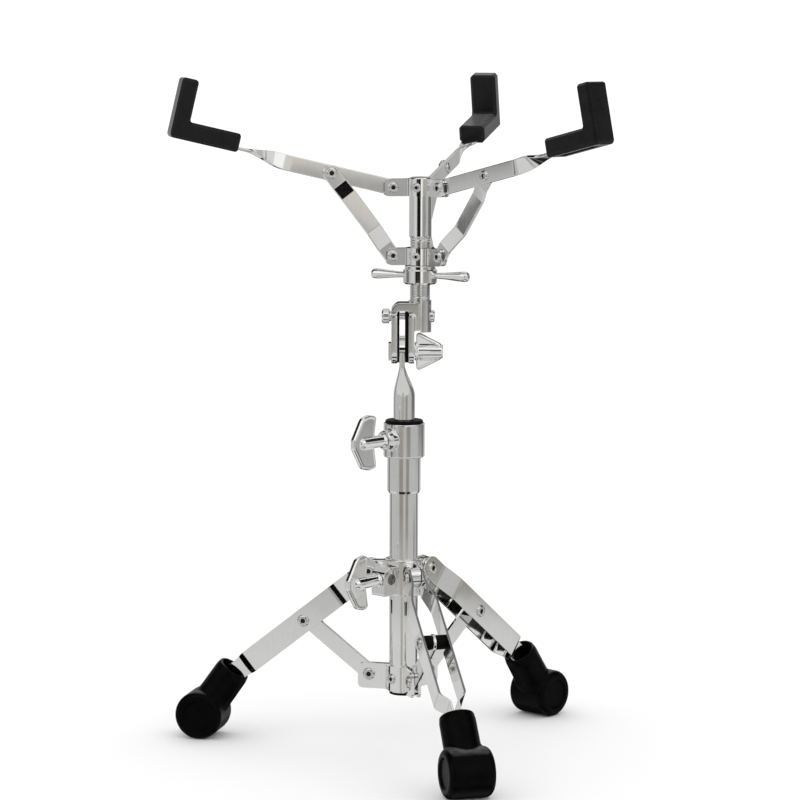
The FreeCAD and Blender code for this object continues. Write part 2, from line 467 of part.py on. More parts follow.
# ---------------------------------------------------------------- basket
btube = rev([(STUB_R, ROD_Z1), (BTUBE_R - 0.5, ROD_Z1), (BTUBE_R, ROD_Z1 + 0.8), (BTUBE_R, BTUBE_Z1), (STUB_R, BTUBE_Z1)])
th_mid = (TOPHUB_Z0 + TOPHUB_Z1) / 2
for az in ARM_AZ.values():
    btube = btube.cut(cyl(1.8, (0, 0, th_mid), unit(az + 60), 30))
btube.translate(V(POST_X, 0, 0))
node("basket_tube", btube)
cap = rev([(0, BTUBE_Z1 - 6), (STUB_R - 0.0, BTUBE_Z1 - 6), (STUB_R, BTUBE_Z1), (BTUBE_R, BTUBE_Z1), (BTUBE_R, BTUBE_Z1 + 2.2, 1.6), (0, BTUBE_Z1 + 2.6)])
cap.translate(V(POST_X, 0, 0))
node("basket_tube_cap", cap)

shell = stamped_shell(BTUBE_R, 2.0, 1.8, 33.2, TOPHUB_Z0, TOPHUB_Z1, ARM_PIVOT_R, T_Z, BRIVET_R, 1.8)
node("top_hub_shells", *[turned(shell, az, POST_X) for az in ARM_AZ.values()])
trv = body_rivet(BTUBE_R, 2.0, th_mid, 1.8, 4.0, 1.4, STUB_R)
node("top_hub_rivets", *[turned(trv, az, POST_X) for az in ARM_AZ.values()])
t_rivet = along(rivet(3.8, BRIVET_R, BRIVET_HEAD, 1.6), (ARM_PIVOT_R, 0, T_Z), (0, 1, 0))
node("arm_pivot_rivets", *[turned(t_rivet, az, POST_X) for az in ARM_AZ.values()])

SL_R = 10.9
ssl = rev([(ROD_R + 0.15, SLIDER_Z0), (SL_R, SLIDER_Z0), (SL_R, SLIDER_Z1), (ROD_R + 0.15, SLIDER_Z1)])
sl_mid = (SLIDER_Z0 + SLIDER_Z1) / 2
for az in ARM_AZ.values():
    ssl = ssl.cut(cyl(1.8, (0, 0, sl_mid), unit(az + 60), 30))
ssl.translate(V(POST_X, 0, 0))
node("slider_sleeve", ssl)
shell = stamped_shell(SL_R, 2.0, 1.7, 30.6, SLIDER_Z0, SLIDER_Z1, ARM_PIVOT_R, U_Z, BRIVET_R, 1.8)
node("slider_shells", *[turned(shell, az, POST_X) for az in ARM_AZ.values()])
srv = body_rivet(SL_R, 2.0, sl_mid, 1.8, 3.6, 1.2, ROD_R + 0.3)
node("slider_body_rivets", *[turned(srv, az, POST_X) for az in ARM_AZ.values()])
u_rivet = along(rivet(3.7, BRIVET_R, BRIVET_HEAD, 1.6), (ARM_PIVOT_R, 0, U_Z), (0, 1, 0))
node("strut_pivot_rivets", *[turned(u_rivet, az, POST_X) for az in ARM_AZ.values()])

nz = (NUT_Z0 + NUT_Z1) / 2
nbody = rev([(ROD_R + 0.15, NUT_Z0), (NUT_R - 1.6, NUT_Z0), (NUT_R, NUT_Z0 + 1.6, 0.5), (NUT_R, NUT_Z1 - 4.2, 0.5), (NUT_R - 1.4, NUT_Z1 - 3.6, 0.5),
             (NUT_R - 1.4, NUT_Z1, 0.8), (ROD_R + 0.15, NUT_Z1)])
handle = rev([(0, 11.5), (2.4, 11.5), (3.0, 24.0, 20.0), (4.5, 40.0, 6.0), (4.5, NUT_HANDLE_R, 3.4), (0, NUT_HANDLE_R)])
hd = unit(NUT_HANDLE_AZ)
nut = fuse(nbody, along(handle, (0, 0, nz - 0.6), hd), along(handle, (0, 0, nz - 0.6), (-hd[0], -hd[1], 0)))
nut = nut.cut(Part.makeCylinder(ROD_R + 0.15, 60, V(0, 0, NUT_Z0 - 20)))
nut.translate(V(POST_X, 0, 0))
node("basket_nut", nut)

# one arm, built outwards along +X from its pivot: upright strip, quarter twist, flat end
TW0, TW1, FLAT_Q, ARM_END = 91.0, 136.0, 2.6, 197.0


def arm_section(s, k):
    a = math.radians(90.0 * k)
    q = FLAT_Q * k
    c, si = math.cos(a), math.sin(a)
    pts = []
    for y, z in ((-ARM_T / 2, -ARM_W / 2), (ARM_T / 2, -ARM_W / 2), (ARM_T / 2, ARM_W / 2), (-ARM_T / 2, ARM_W / 2)):
        pts.append(V(s, y * c - z * si, q + y * si + z * c))
    return Part.makePolygon(pts + [pts[0]])


NT = 8
secs = []
for i in range(NT + 1):
    k = i / float(NT)
    secs.append(arm_section(TW0 + (TW1 - TW0) * k, k * k * (3 - 2 * k)))
twist = Part.makeLoft(secs, True, False)
strip = slab_xz([(0, -ARM_W / 2), (TW0, -ARM_W / 2), (TW0, ARM_W / 2), (0, ARM_W / 2)], -ARM_T / 2, ARM_T / 2)
strip = strip.fuse(cyl(ARM_W / 2, (0, -ARM_T / 2, 0), (0, 1, 0), ARM_T)).removeSplitter()
end = slab_xz([(TW1, FLAT_Q - 1.5), (ARM_END, FLAT_Q - 1.5, 2.5), (ARM_END, 42.0), (ARM_END - 3.0, 42.0), (ARM_END - 3.0, FLAT_Q + 1.5, 1.0), (TW1, FLAT_Q + 1.5)],
              -ARM_W / 2, ARM_W / 2)
arm = fuse(strip, twist, end)
arm = arm.cut(cyl(BRIVET_R + RUN, (0, -20, 0), (0, 1, 0), 40)).cut(cyl(BRIVET_R, (ARM_LINK, -20, 0), (0, 1, 0), 40))

# rubber grip, an L with bevelled sides pushed over the arm's end
grip = slab_xz([(142.5, -1.0, 3.0), (203.2, -1.0, 4.0), (203.2, 51.8, 3.2), (188.6, 51.8, 3.2), (188.6, 15.4, 2.0), (142.5, 15.4, 3.0)], -12.2, 12.2)
gedges = [e for e in grip.Edges if abs(abs(e.CenterOfMass.y) - 12.2) < 1e-6]
grip = grip.makeChamfer(2.6, gedges)
grip = grip.cut(end).cut(box(150.0, 192.0, -4.6, 4.6, -3.0, FLAT_Q - 1.5))
grip = [s for s in grip.Solids if s.Volume > 1000][0]

v_half_in = ARM_T / 2
v_out = ARM_T / 2 + 0.3 + BSTRUT_T + 0.3
vr = rev([(0, -v_half_in - 0.9), (1.2, -v_half_in - 1.15), (1.7, -v_half_in - 1.6), (BRIVET_HEAD, -v_half_in - 1.6, 1.4), (BRIVET_HEAD, -v_half_in), (BRIVET_R, -v_half_in),
          (BRIVET_R, v_out), (BRIVET_HEAD + 0.4, v_out), (BRIVET_HEAD + 0.4, v_out + 1.6, 1.4), (1.7, v_out + 1.6), (1.2, v_out + 1.15), (0, v_out + 0.9)])
v_rivet = along(vr, (ARM_LINK, 0, 0), (0, 1, 0))

al = math.radians(ARM_SLOPE)
t_pos = (ARM_PIVOT_R, 0, T_Z)
vx, vz = ARM_PIVOT_R + ARM_LINK * math.cos(al), T_Z + ARM_LINK * math.sin(al)
b_len = math.hypot(vx - ARM_PIVOT_R, vz - U_Z)
b_slope = math.degrees(math.atan2(vz - U_Z, vx - ARM_PIVOT_R))
y_top = ARM_T / 2 + 0.3
# the strut leaves the slider in the arm's plane, bows out to one side and comes back beside the arm
y_bow = 7.2 - BSTRUT_T / 2
bpts = [(-BSTRUT_W / 2, -BSTRUT_T / 2), (11.0, -BSTRUT_T / 2), (29.5, y_bow), (67.5, y_bow - 0.6), (79.0, y_top), (b_len + BSTRUT_W / 2, y_top)]
bs = joggled(bpts, BSTRUT_T, BSTRUT_W, BSTRUT_W / 2, [(0, BSTRUT_W / 2), (b_len, BSTRUT_W / 2)], (3.0, 3.0, 3.0, 3.0))
tip = cyl(BSTRUT_W / 2, (b_len, y_top, 0), (0, 1, 0), BSTRUT_T)
bs = bs.fuse(tip).removeSplitter()
bs = bs.cut(cyl(BRIVET_R + RUN, (0, -20, 0), (0, 1, 0), 40)).cut(cyl(STRUT_PLAY_R, (b_len, -20, 0), (0, 1, 0), 40))
bs = sloped(bs, -b_slope, (ARM_PIVOT_R, 0, U_Z))

arm, grip, v_rivet = [sloped(x, -ARM_SLOPE, t_pos) for x in (arm, grip, v_rivet)]
for name, az in ARM_AZ.items():
    node("arm_%s" % name, turned(arm, az, POST_X))
    node("grip_%s" % name, turned(grip, az, POST_X))
    node("arm_%s_rivet" % name, turned(v_rivet, az, POST_X))
    node("basket_strut_%s" % name, turned(bs, az, POST_X))
print("strut", b_len, b_slope, "link", LINK, "leg slope", LEG_SLOPE)
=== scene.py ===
import bpy, bmesh, json, math
from mathutils import Matrix, Vector

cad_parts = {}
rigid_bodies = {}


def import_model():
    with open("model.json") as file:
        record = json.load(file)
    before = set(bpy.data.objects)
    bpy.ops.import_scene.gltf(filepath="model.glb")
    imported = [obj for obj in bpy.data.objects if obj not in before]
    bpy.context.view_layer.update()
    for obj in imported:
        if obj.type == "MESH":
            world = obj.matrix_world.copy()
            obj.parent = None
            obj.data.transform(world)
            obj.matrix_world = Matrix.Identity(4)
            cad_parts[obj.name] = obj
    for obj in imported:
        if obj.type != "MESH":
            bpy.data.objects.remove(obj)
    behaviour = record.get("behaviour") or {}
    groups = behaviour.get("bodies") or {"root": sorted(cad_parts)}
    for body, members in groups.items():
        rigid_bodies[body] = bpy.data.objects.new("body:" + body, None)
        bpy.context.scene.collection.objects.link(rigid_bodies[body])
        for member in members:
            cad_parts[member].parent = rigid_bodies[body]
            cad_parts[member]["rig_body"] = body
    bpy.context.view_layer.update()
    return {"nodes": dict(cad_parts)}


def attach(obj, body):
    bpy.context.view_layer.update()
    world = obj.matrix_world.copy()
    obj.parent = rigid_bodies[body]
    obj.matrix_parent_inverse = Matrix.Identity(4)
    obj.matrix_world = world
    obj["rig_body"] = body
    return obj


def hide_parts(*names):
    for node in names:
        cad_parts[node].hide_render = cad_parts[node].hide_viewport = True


# Snare drum stand: finish and fine shape of every piece, studio, camera.
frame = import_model()
NODES = frame["nodes"]
scene = bpy.context.scene
MM = 0.001


# ------------------------------------------------------------------ node helpers
def lin(v):
    return v / 12.92 if v <= 0.04045 else ((v + 0.055) / 1.055) ** 2.4


class Tree:
    def __init__(self, tree):
        self.t = tree
        tree.nodes.clear()

    def add(self, kind, **kw):
        n = self.t.nodes.new(kind)
        for k, v in kw.items():
            setattr(n, k, v)
        return n

    def link(self, a, b):
        self.t.links.new(a, b)

    def math(self, op, a, b=None, clamp=False):
        n = self.add("ShaderNodeMath", operation=op, use_clamp=clamp)
        for i, v in enumerate((a, b)):
            if v is None:
                continue
            if isinstance(v, (int, float)):
                n.inputs[i].default_value = v
            else:
                self.link(v, n.inputs[i])
        return n.outputs[0]

    def remap(self, v, a, b, c, d):
        n = self.add("ShaderNodeMapRange")
        n.clamp = True
        for i, x in zip((1, 2, 3, 4), (a, b, c, d)):
            n.inputs[i].default_value = x
        self.link(v, n.inputs[0])
        return n.outputs[0]

    def noise(self, co, scale, detail=3.0, rough=0.55, stretch=None):
        if stretch:
            m = self.add("ShaderNodeMapping")
            m.inputs["Scale"].default_value = stretch
            self.link(co, m.inputs["Vector"])
            co = m.outputs[0]
        n = self.add("ShaderNodeTexNoise")
        n.inputs["Scale"].default_value = scale
        n.inputs["Detail"].default_value = detail
        n.inputs["Roughness"].default_value = rough
        self.link(co, n.inputs["Vector"])
        return n.outputs["Fac"]

    def ramp(self, v, stops, mode="LINEAR"):
        n = self.add("ShaderNodeValToRGB")
        r = n.color_ramp
        r.interpolation = mode
        while len(r.elements) > 1:
            r.elements.remove(r.elements[-1])
        r.elements[0].position, r.elements[0].color = stops[0][0], stops[0][1]
        for p, c in stops[1:]:
            r.elements.new(p).color = c
        self.link(v, n.inputs[0])
        return n.outputs[0]

    def mix(self, f, a, b):
        n = self.add("ShaderNodeMix", data_type="RGBA")
        for s, v in ((n.inputs[0], f), (n.inputs[6], a), (n.inputs[7], b)):
            if hasattr(v, "is_linked"):
                self.link(v, s)
            else:
                s.default_value = v
        return n.outputs[2]

    def bump(self, h, distance, strength, normal=None):
        n = self.add("ShaderNodeBump")
        n.inputs["Strength"].default_value = strength
        n.inputs["Distance"].default_value = distance
        self.link(h, n.inputs["Height"])
        if normal is not None:
            self.link(normal, n.inputs["Normal"])
        return n.outputs[0]


def material(name):
    m = bpy.data.materials.new(name)
    m.use_nodes = True
    t = Tree(m.node_tree)
    out = t.add("ShaderNodeOutputMaterial")
    b = t.add("ShaderNodeBsdfPrincipled")
    t.link(b.outputs[0], out.inputs[0])
    co = t.add("ShaderNodeTexCoord").outputs["Object"]
    return m, t, b, co


def grey(v, w=(1.0, 1.0, 1.0)):
    return (v * w[0], v * w[1], v * w[2], 1.0)


# ------------------------------------------------------------------ materials
def metal(name, lo, hi, r0, r1, wave, grain, tint=(1.0, 0.997, 0.985)):
    """Plated steel: polish that comes and goes, faint rubbing marks, gentle waviness."""
    m, t, b, co = material(name)
    smear = t.noise(co, 34.0, 4.0, 0.6)
    fine = t.noise(co, 520.0, 3.0, 0.6)
    rub = t.noise(co, 900.0, 2.0, 0.5, (1.0, 1.0, 0.06))
    f = t.math("MULTIPLY", t.math("ADD", t.math("MULTIPLY", smear, 0.7), t.math("MULTIPLY", fine, 0.3)), 1.0)
    t.link(t.mix(t.remap(f, 0.38, 0.62, 0.0, 1.0), grey(lo, tint), grey(hi, tint)), b.inputs["Base Color"])
    rough = t.math("ADD", t.math("MULTIPLY", smear, 0.6), t.math("MULTIPLY", rub, 0.4))
    t.link(t.remap(rough, 0.36, 0.64, r0, r1), b.inputs["Roughness"])
    b.inputs["Metallic"].default_value = 1.0
    w = t.bump(t.noise(co, 38.0, 1.0, 0.4), wave * MM, 1.0)
    t.link(t.bump(rub, grain * MM, 1.0, w), b.inputs["Normal"])
    return m


def moulded(name, c0, c1, r0, r1, grain, gloss, tint=(1.0, 1.0, 1.03), dust_and_highlight=0.0, sheen=0.0):
    """Black rubber or nylon: fine pebble from the mould, dusty patches, uneven satin; the sides that face up are
    painted lighter, partly a dusting and partly a painted highlight.
    """
    m, t, b, co = material(name)
    b.inputs["Specular IOR Level"].default_value = gloss
    patch = t.noise(co, 55.0, 4.0, 0.6)
    peb = t.noise(co, 1500.0, 2.0, 0.5)
    flow = t.noise(co, 160.0, 3.0, 0.5)
    colour = t.mix(t.remap(t.math("ADD", t.math("MULTIPLY", patch, 0.6), t.math("MULTIPLY", flow, 0.4)), 0.36, 0.66, 0.0, 1.0), grey(c0, tint), grey(c1, tint))
    # the sides that face up are painted a lighter grey: partly a dusting, partly a painted highlight on the tops
    if dust_and_highlight:
        sep = t.add("ShaderNodeSeparateXYZ")
        t.link(t.add("ShaderNodeTexCoord").outputs["Normal"], sep.inputs[0])
        dust_highlight_mask = t.math("MULTIPLY", t.remap(sep.outputs[2], 0.80, 0.98, 0.0, 1.0), t.remap(flow, 0.30, 0.62, 0.35, 1.0))
        colour = t.mix(dust_highlight_mask, colour, grey(dust_and_highlight))
    t.link(colour, b.inputs["Base Color"])
    b.inputs["Sheen Weight"].default_value = sheen
    b.inputs["Sheen Roughness"].default_value = 0.3
    t.link(t.remap(t.math("ADD", t.math("MULTIPLY", patch, 0.5), t.math("MULTIPLY", peb, 0.5)), 0.36, 0.64, r0, r1), b.inputs["Roughness"])
    w = t.bump(flow, grain * 1.6 * MM, 0.6)
    t.link(t.bump(peb, grain * MM, 0.7, w), b.inputs["Normal"])
    return m


M_TUBE = metal("chrome_tube", 0.84, 0.90, 0.025, 0.075, 0.005, 0.0003)
M_STRIP = metal("chrome_strip", 0.84, 0.90, 0.03, 0.09, 0.022, 0.001)
M_CAST = metal("chrome_cast", 0.82, 0.89, 0.05, 0.12, 0.03, 0.0015)
M_WING = metal("chrome_wing", 0.94, 0.99, 0.07, 0.16, 0.05, 0.002)
M_BARREL = metal("steel_barrel", 0.16, 0.26, 0.16, 0.30, 0.006, 0.002)
M_RIVET = metal("chrome_rivet", 0.66, 0.78, 0.12, 0.24, 0.01, 0.002)
M_THREAD = metal("steel_thread", 0.72, 0.82, 0.09, 0.18, 0.004, 0.002)
M_FOOT = moulded("rubber_foot", 0.0008, 0.0022, 0.22, 0.36, 0.012, 0.04, dust_and_highlight=0.09)
M_GRIP = moulded("rubber_grip", 0.005, 0.009, 0.24, 0.38, 0.016, 0.16, dust_and_highlight=0.06, sheen=0.30)
M_NYLON = moulded("nylon_black", 0.002, 0.004, 0.34, 0.48, 0.010, 0.05)

CAST = {"height_clamp", "leg_collar", "clamp_wing_screw", "collar_wing_screw", "tilter_wing_nut", "tilter_yoke"}
TUBES = {"base_tube", "clamp_sleeve", "upper_tube", "basket_tube", "slider_sleeve", "cross_bolt", "cross_bolt_nut", "tilter_bolt", "basket_tube_cap", "basket_nut"}
NYLON = {"clamp_bush", "tilter_pads", "base_tube_plug"}


def finish_of(n):
    if n.startswith("foot_"):
        return M_FOOT
    if n.startswith("grip_"):
        return M_GRIP
    if n in NYLON or n.endswith("_spacers"):
        return M_NYLON
    if n.endswith(("_rivets", "_rivet")):
        return M_RIVET
    if n == "basket_post":
        return M_THREAD
    if n == "collar_barrel_nut":
        return M_BARREL
    if n in CAST:
        return M_CAST
    return M_TUBE if n in TUBES else M_STRIP


for n, o in NODES.items():
    o.data.materials.clear()
    o.data.materials.append(finish_of(n))

# ------------------------------------------------------------------ mesh helpers
def Rz(a):
    return Matrix.Rotation(math.radians(a), 4, "Z")


def Ry(a):
    return Matrix.Rotation(math.radians(a), 4, "Y")


def T(x, y, z):
    return Matrix.Translation((x, y, z))


Z_TO_Y = Matrix(((1, 0, 0, 0), (0, 0, 1, 0), (0, -1, 0, 0), (0, 0, 0, 1)))


def dress(name, me, nodes, mats, angle=38.0, flat_faces=True):
    """Put a finished mesh (metres) in the scene, riding where the nodes it stands for ride."""
    for m in mats:
        me.materials.append(m)
    me.polygons.foreach_set("use_smooth", [True] * len(me.polygons))
    me.set_sharp_from_angle(angle=math.radians(angle))
    o = bpy.data.objects.new(name, me)
    scene.collection.objects.link(o)
    if flat_faces:
        o.modifiers.new("normals", "WEIGHTED_NORMAL").keep_sharp = True
    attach(o, NODES[nodes[0]]["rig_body"])
    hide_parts(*nodes)
    return o


class Build:
    """Collects faces in millimetres, with a material index for each."""

    def __init__(self):
        self.v, self.f, self.m = [], [], []

    def add(self, verts, faces, mats, place):
        k = len(self.v)
        self.v += [tuple((place @ Vector(p)) * MM) for p in verts]
        self.f += [tuple(i + k for i in f) for f in faces]
        self.m += mats if isinstance(mats, list) else [mats] * len(faces)

    def mesh(self, name):
        me = bpy.data.meshes.new(name)
        me.from_pydata(self.v, [], self.f)
        me.polygons.foreach_set("material_index", self.m)
        bm = bmesh.new()
        bm.from_mesh(me)
        bmesh.ops.recalc_face_normals(bm, faces=bm.faces)
        bm.to_mesh(me)
        bm.free()
        me.update()
        return me


def lathe(profile, n=48, ring=False):
    """Closed solid of revolution about Z from (radius, height, material of the face that follows); ring joins the last point to the first."""
    verts, faces, mats, rings = [], [], [], []
    profile = [(p + (0,))[:3] for p in profile]
    if ring:
        profile = profile + [profile[0]]
    for r, z, _ in profile:
        if r < 1e-6:
            rings.append([len(verts)])
            verts.append((0, 0, z))
        else:
            rings.append(list(range(len(verts), len(verts) + n)))
            verts += [(r * math.cos(2 * math.pi * i / n), r * math.sin(2 * math.pi * i / n), z) for i in range(n)]
    for k in range(len(rings) - 1):
        a, b, mt = rings[k], rings[k + 1], profile[k][2]
        for i in range(n):
            j = (i + 1) % n
            if len(a) == 1:
                faces.append((a[0], b[i], b[j]))
            elif len(b) == 1:
                faces.append((a[i], b[0], a[j]))
            else:
                faces.append((a[i], b[i], b[j], a[j]))
            mats.append(mt)
    return verts, faces, mats


def rounded(node, width, mats, segs=2, angle=30.0, name=None):
    """The node's own shape with its sharp edges broken by a small radius."""
    bm = bmesh.new()
    bm.from_mesh(NODES[node].data)
    bmesh.ops.remove_doubles(bm, verts=bm.verts, dist=2e-6)
    bmesh.ops.dissolve_limit(bm, angle_limit=math.radians(0.5), verts=bm.verts, edges=bm.edges)
    sharp = [e for e in bm.edges if len(e.link_faces) == 2 and e.calc_face_angle(0.0) > math.radians(angle)]
    bmesh.ops.bevel(bm, geom=sharp, offset=width * MM, offset_type="OFFSET", segments=segs, profile=0.5, affect="EDGES", clamp_overlap=True, loop_slide=True)
    for f in bm.faces:
        f.material_index = 0
    me = bpy.data.meshes.new(node + "_mesh")
    bm.to_mesh(me)
    bm.free()
    if "custom_normal" in me.attributes:
        me.attributes.remove(me.attributes["custom_normal"])
    return dress(name or node + "_rounded", me, [node], mats)


def sweep(stations, e=0.5, k=3):
    """Strip with rounded edges through stations (centre, width way, thickness way, half width, half thickness)."""
    verts, faces, rings = [], [], []
    for c, wd, td, hw, ht in stations:
        r = min(e, hw * 0.9, ht * 0.9)
        ring = []
        for sx, sy, a0 in ((1, 1, 0), (-1, 1, 90), (-1, -1, 180), (1, -1, 270)):
            for i in range(k + 1):
                a = math.radians(a0 + 90.0 * i / k)
                u, v = sx * (hw - r) + r * math.cos(a), sy * (ht - r) + r * math.sin(a)
                ring.append(len(verts))
                verts.append(c + wd * u + td * v)
        rings.append(ring)
    n = len(rings[0])
    for a, b in zip(rings, rings[1:]):
        for i in range(n):
            j = (i + 1) % n
            faces.append((a[i], a[j], b[j], b[i]))
    faces.append(tuple(rings[0]))
    faces.append(tuple(reversed(rings[-1])))
    return verts, faces


def round_poly(pts, n=7):
    """Outline through (u, v[, corner radius]) points with its corners rounded."""
    out = []
    for i, p in enumerate(pts):
        b = Vector(p[:2])
        if len(p) < 3:
            out.append(b)
            continue
        d1, d2 = (Vector(pts[i - 1][:2]) - b).normalized(), (Vector(pts[(i + 1) % len(pts)][:2]) - b).normalized()
        half, r = d1.angle(d2) / 2, p[2]
        mid = (d1 + d2).normalized()
        c = b + mid * (r / math.sin(half))
        a, e = b + d1 * (r / math.tan(half)) - c, b + d2 * (r / math.tan(half)) - c
        turn = math.atan2(a.x * e.y - a.y * e.x, a.dot(e))
        for k in range(n + 1):
            w = turn * k / n
            out.append(c + Vector((a.x * math.cos(w) - a.y * math.sin(w), a.x * math.sin(w) + a.y * math.cos(w))))
    return out


def beaded_plate(outline, rings):
    """Plate in the XZ plane with a rolled rim: rings are (distance in from the outline, half thickness)."""
    n = len(outline)
    area = sum(outline[i - 1].x * outline[i].y - outline[i].x * outline[i - 1].y for i in range(n))
    sg = 1.0 if area > 0 else -1.0
    inward = []
    for i in range(n):
        a, b = (outline[i] - outline[i - 1]), (outline[(i + 1) % n] - outline[i])
        na, nb = Vector((-a.y, a.x)).normalized(), Vector((-b.y, b.x)).normalized()
        m = (na + nb).normalized()
        inward.append(m * (sg / max(0.5, m.dot(na))))
    verts, faces, loops = [], [], []
    for side in (1, -1):
        for d, h in rings:
            loops.append(list(range(len(verts), len(verts) + n)))
            verts += [(p.x + q.x * d, side * h, p.y + q.y * d) for p, q in zip(outline, inward)]
    k = len(rings)
    order = list(range(k - 1, -1, -1)) + list(range(k, 2 * k))
    for a, b in zip(order, order[1:]):
        for i in range(n):
            j = (i + 1) % n
            faces.append((loops[a][i], loops[a][j], loops[b][j], loops[b][i]))
    faces.append(tuple(loops[k - 1]))
    faces.append(tuple(reversed(loops[2 * k - 1])))
    return verts, faces


def melt(name, me, place, nodes, voxel, soft, mats):
    """Casting: closed shells run together into one skin with softened edges and inside corners."""
    tmp = bpy.data.objects.new(name + "_shells", me)
    scene.collection.objects.link(tmp)
    r = tmp.modifiers.new("melt", "REMESH")
    r.mode, r.voxel_size = "VOXEL", voxel * MM
    s = tmp.modifiers.new("soft", "SMOOTH")
    s.factor, s.iterations = 0.5, soft
    bpy.context.view_layer.update()
    out = bpy.data.meshes.new_from_object(tmp.evaluated_get(bpy.context.evaluated_depsgraph_get()))
    bpy.data.objects.remove(tmp)
    out.materials.clear()
    out.transform(place)
    out.polygons.foreach_set("material_index", [0] * len(out.polygons))
    return dress(name, out, nodes, mats, angle=80.0, flat_faces=False)


def node_mesh(node, place):
    """Copy of a node's mesh, merged, seen from the frame given by place."""
    bm = bmesh.new()
    bm.from_mesh(NODES[node].data)
    bmesh.ops.remove_doubles(bm, verts=bm.verts, dist=2e-6)
    me = bpy.data.meshes.new(node + "_copy")
    bm.to_mesh(me)
    bm.free()
    me.transform(place.inverted())
    return me


# ------------------------------------------------------------------ sizes, as in the part
LEG_AZ = {"right": 46.7, "left": 166.7, "front": 286.7}
ARM_AZ = {"back": 73.0, "left": 193.0, "right": 313.0}
PIVOT_R, P_Z, Q_Z, S_DR, S_DZ = 30.5, 160.0, 66.0, 59.0, 47.0
POST_X, ARM_PIVOT_R, T_Z, U_Z, ARM_SLOPE, ARM_LINK = 13.6, 25.6, 503.0, 443.0, 13.2, 56.8


def on_leg(az):
    return Rz(az)


def on_basket(az):
    return T(POST_X, 0, 0) @ Rz(az)


def on_arm(az):
    return on_basket(az) @ T(ARM_PIVOT_R, 0, T_Z) @ Ry(-ARM_SLOPE)


# ------------------------------------------------------------------ rivets: rolled heads with an open core, its inside painted dark: painted shade for the hollow, partly oxide
def head_profile(z, R, H, rim):
    """One head, outwards from the bottom of its core to the rim at height z; rim is the core's radius."""
    return [(0, z + H - 2.1, 1), (rim * 0.86, z + H - 2.1, 1), (rim * 0.96, z + H - 1.2, 1), (rim, z + H - 0.42, 0), (rim + 0.16, z + H - 0.12, 0), (rim + 0.42, z + H, 0),
            (0.60 * R, z + H, 0), (0.72 * R, z + 0.94 * H, 0), (0.84 * R, z + 0.78 * H, 0), (0.93 * R, z + 0.53 * H, 0), (0.985 * R, z + 0.26 * H, 0), (R, z + 0.06, 0), (R * 0.99, z, 0)]


def through_rivet(lo, hi, shank, R0, R1, H):
    up = head_profile(hi, R1, H, 0.37 * R1)
    full = [(r, -z, m) for r, z, m in head_profile(-lo, R0, H, 0.37 * R0)] + [(shank, lo, 0), (shank, hi, 0)]
    for i in range(len(up) - 1, -1, -1):
        full.append((up[i][0], up[i][1], up[i - 1][2] if i > 0 else 0))
    return lathe(full)


def wall_rivet(wall, R, H):
    """Head of a rivet through a curved wall, along +Z from inside the wall."""
    up = head_profile(wall, R, H, 0.36 * R)
    full = [(0, wall - 2.0, 0), (R * 0.99, wall - 2.0, 0)]
    for i in range(len(up) - 1, -1, -1):
        full.append((up[i][0], up[i][1], up[i - 1][2] if i > 0 else 0))
    return lathe(full)


# inside of the hollow core: a dark oxide colour, darkened further as painted shade in the hollow
M_CORE_OXIDE_AND_SHADE, t, b, co = material("rivet_core_oxide_and_painted_shade")
t.link(t.mix(t.noise(co, 900.0, 3.0), grey(0.012), grey(0.05, (1.0, 0.94, 0.86))), b.inputs["Base Color"])
t.link(t.remap(t.noise(co, 1400.0, 2.0), 0.3, 0.7, 0.5, 0.8), b.inputs["Roughness"])
b.inputs["Metallic"].default_value = 0.4
RIV = [M_RIVET, M_CORE_OXIDE_AND_SHADE]

g = Build()
for az in LEG_AZ.values():
    g.add(*through_rivet(-4.4, 4.4, 3.0, 5.6, 5.6, 1.8), on_leg(az) @ T(PIVOT_R, 0, Q_Z) @ Z_TO_Y)
dress("strut_hub_rivet_set", g.mesh("strut_hub_rivets"), ["strut_hub_rivets"], RIV, flat_faces=False)
for k, az in LEG_AZ.items():
    g = Build()
    g.add(*through_rivet(-6.9, 6.9, 3.0, 5.6, 5.6, 1.8), on_leg(az) @ T(PIVOT_R, 0, P_Z) @ Z_TO_Y)
    g.add(*through_rivet(-12.4, 12.4, 3.0, 5.6, 5.6, 1.8), on_leg(az) @ T(PIVOT_R + S_DR, 0, P_Z - S_DZ) @ Z_TO_Y)
    dress("leg_%s_rivet_pair" % k, g.mesh("leg_%s_rivets" % k), ["leg_%s_rivets" % k], RIV, flat_faces=False)
g, h = Build(), Build()
for k, az in ARM_AZ.items():
    g.add(*through_rivet(-3.8, 3.8, 2.5, 5.0, 5.0, 1.6), on_basket(az) @ T(ARM_PIVOT_R, 0, T_Z) @ Z_TO_Y)
    h.add(*through_rivet(-3.7, 3.7, 2.5, 5.0, 5.0, 1.6), on_basket(az) @ T(ARM_PIVOT_R, 0, U_Z) @ Z_TO_Y)
    q = Build()
    q.add(*through_rivet(-1.5, 4.9, 2.5, 5.0, 5.4, 1.6), on_arm(az) @ T(ARM_LINK, 0, 0) @ Z_TO_Y)
    dress("arm_%s_link_rivet" % k, q.mesh("arm_%s_rivet" % k), ["arm_%s_rivet" % k], RIV, flat_faces=False)
dress("arm_pivot_rivet_set", g.mesh("arm_pivot_rivets"), ["arm_pivot_rivets"], RIV, flat_faces=False)
dress("strut_pivot_rivet_set", h.mesh("strut_pivot_rivets"), ["strut_pivot_rivets"], RIV, flat_faces=False)
for node, azs, where, z, wall, R, H in (("lower_hub_rivets", LEG_AZ, on_leg, 64.25, 15.3, 4.6, 1.5), ("top_hub_rivets", ARM_AZ, on_basket, 502.8, 11.95, 4.0, 1.4),
                                        ("slider_body_rivets", ARM_AZ, on_basket, 442.1, 12.9, 3.6, 1.2)):
    g = Build()
    for az in azs.values():
        g.add(*wall_rivet(wall, R, H), where(az + 60.0) @ T(0, 0, z) @ Ry(90.0))
    dress(node[:-1] + "_set", g.mesh(node), [node], RIV, flat_faces=False)

